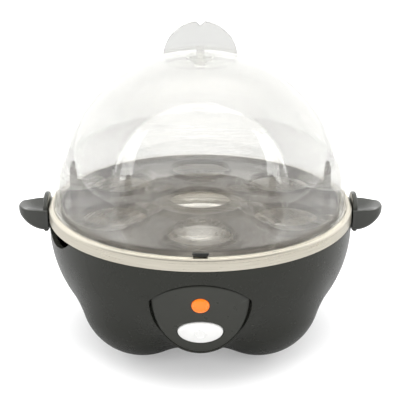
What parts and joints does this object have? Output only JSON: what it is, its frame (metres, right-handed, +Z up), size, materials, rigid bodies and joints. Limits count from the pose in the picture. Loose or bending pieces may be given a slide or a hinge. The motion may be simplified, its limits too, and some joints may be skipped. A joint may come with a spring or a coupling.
{
  "type": "egg cooker",
  "caption": "Domed electric egg cooker: moulded bowl on bulbous feet, steel-trimmed heating pan, egg tray, clear lid and lit push-button panel.",
  "frame": {"origin": "on the table, under the middle of the bowl", "axes": "+Z up, -Y out of the control panel, +X to the right seen from the front"},
  "size_m": [0.191, 0.158, 0.1649],
  "materials": {
    "bowl_plastic": "moulded charcoal-black polypropylene, satin",
    "handle_plastic": "moulded black phenolic, polished",
    "panel_plastic": "moulded charcoal ABS, semi-gloss",
    "button_plastic": "moulded white ABS",
    "lens_amber": "amber polycarbonate",
    "lamp_glass": "clear glass",
    "trim_steel": "brushed stainless trim",
    "pan_steel": "spun and polished stainless",
    "element_sheath": "heat-tinted sheath",
    "plated_steel": "zinc plated",
    "spring_steel": "spring wire",
    "fuse_case": "metal can",
    "ceramic_body": "unglazed steatite",
    "gasket_silicone": "grey silicone",
    "pad_rubber": "black rubber",
    "switch_plastic": "moulded nylon",
    "block_nylon": "natural nylon",
    "lead_brown": "brown lead sleeve",
    "lead_blue": "blue lead sleeve",
    "lead_white": "white lead sleeve",
    "lid_clear": "clear polycarbonate",
    "tray_smoke": "smoke-tinted clear polycarbonate"
  },
  "bodies": {
    "base": {"base_shell": "bowl_plastic", "foot_pads": "pad_rubber", "steel_band": "trim_steel", "plate_gasket": "gasket_silicone", "heating_plate": "pan_steel", "heating_element": "element_sheath", "thermostat": "ceramic_body", "thermostat_bracket": "plated_steel", "thermal_fuse": "fuse_case", "fuse_clip": "plated_steel", "clamp_pillars": "plated_steel", "base_screws": "plated_steel", "handle_left": "handle_plastic", "handle_right": "handle_plastic", "handle_screws": "plated_steel", "control_panel": "panel_plastic", "lamp_lens": "lens_amber", "neon_lamp": "lamp_glass", "button_spring": "spring_steel", "switch_body": "switch_plastic", "switch_screws": "plated_steel", "cord_gland": "pad_rubber", "cord_clamp": "switch_plastic", "clamp_screws": "plated_steel", "terminal_block": "block_nylon", "block_screws": "plated_steel", "wire_mains_live": "lead_brown", "wire_switched": "lead_brown", "wire_fused": "lead_brown", "wire_heater": "lead_brown", "wire_neutral": "lead_blue", "wires_lamp": "lead_white"},
    "lid": {"lid_dome": "lid_clear", "lid_handle": "lid_clear", "lid_handle_nut": "lid_clear", "lid_locator": "pad_rubber"},
    "tray": {"egg_tray": "tray_smoke"},
    "button": {"power_button": "button_plastic"}
  },
  "joints": [
    {"name": "lid_lift", "type": "slide", "parent": "base", "child": "lid", "axis": [0, 0, 1], "range_m": [0, 0.12]},
    {"name": "tray_lift", "type": "slide", "parent": "base", "child": "tray", "axis": [0, 0, 1], "range_m": [0, 0.01]},
    {"name": "button_press", "type": "slide", "parent": "base", "child": "button", "axis": [0, 0.9659, 0.2588], "range_m": [0, 0.002], "stiffness_N_per_m": 300, "springref_m": -0.001, "deforming": ["button_spring"]}
  ]
}
